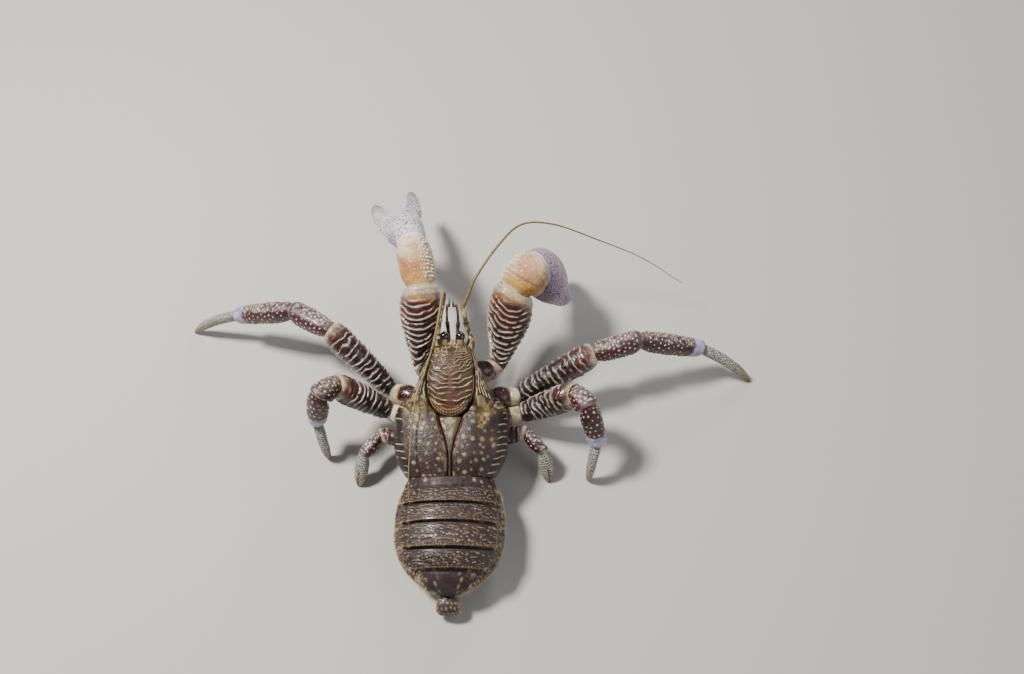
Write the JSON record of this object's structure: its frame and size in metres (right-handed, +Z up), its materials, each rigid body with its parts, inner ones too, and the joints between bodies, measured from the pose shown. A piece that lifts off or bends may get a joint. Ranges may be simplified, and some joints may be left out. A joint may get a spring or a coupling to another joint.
{
  "type": "coconut crab",
  "caption": "Still model of a coconut crab: legs spread low on the floor, great claws reaching forward, long feelers swept aside, soft abdomen resting behind.",
  "frame": {"origin": "on the floor, under the middle of the whole model's bounding box", "axes": "+X the crab's right, across the spread of its legs; +Y the way its head points; +Z up from the floor"},
  "size_m": [0.2874, 0.2196, 0.0644],
  "materials": {
    "shell": "glossy dark maroon shell with pale ridges",
    "claw": "satin lilac-white shell, pitted",
    "cuff": "satin ochre shell with cream knobs",
    "horn": "matt blue-grey, pitted",
    "membrane": "pale leathery joint skin",
    "abdomen_skin": "soft dark leathery skin with pale spots",
    "feeler": "straw brown",
    "eye": "polished black"
  },
  "bodies": {
    "root": {"carapace_front": "shell", "cardiac_plate": "shell", "branchial_left": "shell", "branchial_right": "shell", "thorax_underside": "membrane", "abdomen": "abdomen_skin", "tergite_1": "shell", "tergite_2": "shell", "tergite_3": "shell", "tergite_4": "shell", "tail_fan": "shell", "eyestalk_left": "shell", "eyestalk_right": "shell", "eye_left": "eye", "eye_right": "eye", "antennule_left": "shell", "antennule_right": "shell", "antenna_left_stalk": "feeler", "antenna_right_stalk": "feeler", "antenna_left_whip": "feeler", "antenna_right_whip": "feeler", "maxilliped_left": "shell", "maxilliped_right": "shell", "claw_left_base": "membrane", "claw_left_merus": "shell", "claw_left_carpus": "cuff", "claw_left_palm": "claw", "claw_left_thumb": "claw", "claw_right_base": "membrane", "claw_right_merus": "shell", "claw_right_carpus": "cuff", "claw_right_palm": "claw", "claw_right_thumb": "claw", "front_leg_left_base": "membrane", "front_leg_left_merus": "shell", "front_leg_left_carpus": "shell", "front_leg_left_propodus": "shell", "front_leg_left_dactyl": "horn", "front_leg_right_base": "membrane", "front_leg_right_merus": "shell", "front_leg_right_carpus": "shell", "front_leg_right_propodus": "shell", "front_leg_right_dactyl": "horn", "rear_leg_left_base": "membrane", "rear_leg_left_merus": "shell", "rear_leg_left_carpus": "shell", "rear_leg_left_propodus": "shell", "rear_leg_left_dactyl": "horn", "rear_leg_right_base": "membrane", "rear_leg_right_merus": "shell", "rear_leg_right_carpus": "shell", "rear_leg_right_propodus": "shell", "rear_leg_right_dactyl": "horn", "small_leg_left_merus": "shell", "small_leg_left_carpus": "shell", "small_leg_left_claw": "horn", "small_leg_right_merus": "shell", "small_leg_right_carpus": "shell", "small_leg_right_claw": "horn"}
  },
  "joints": []
}
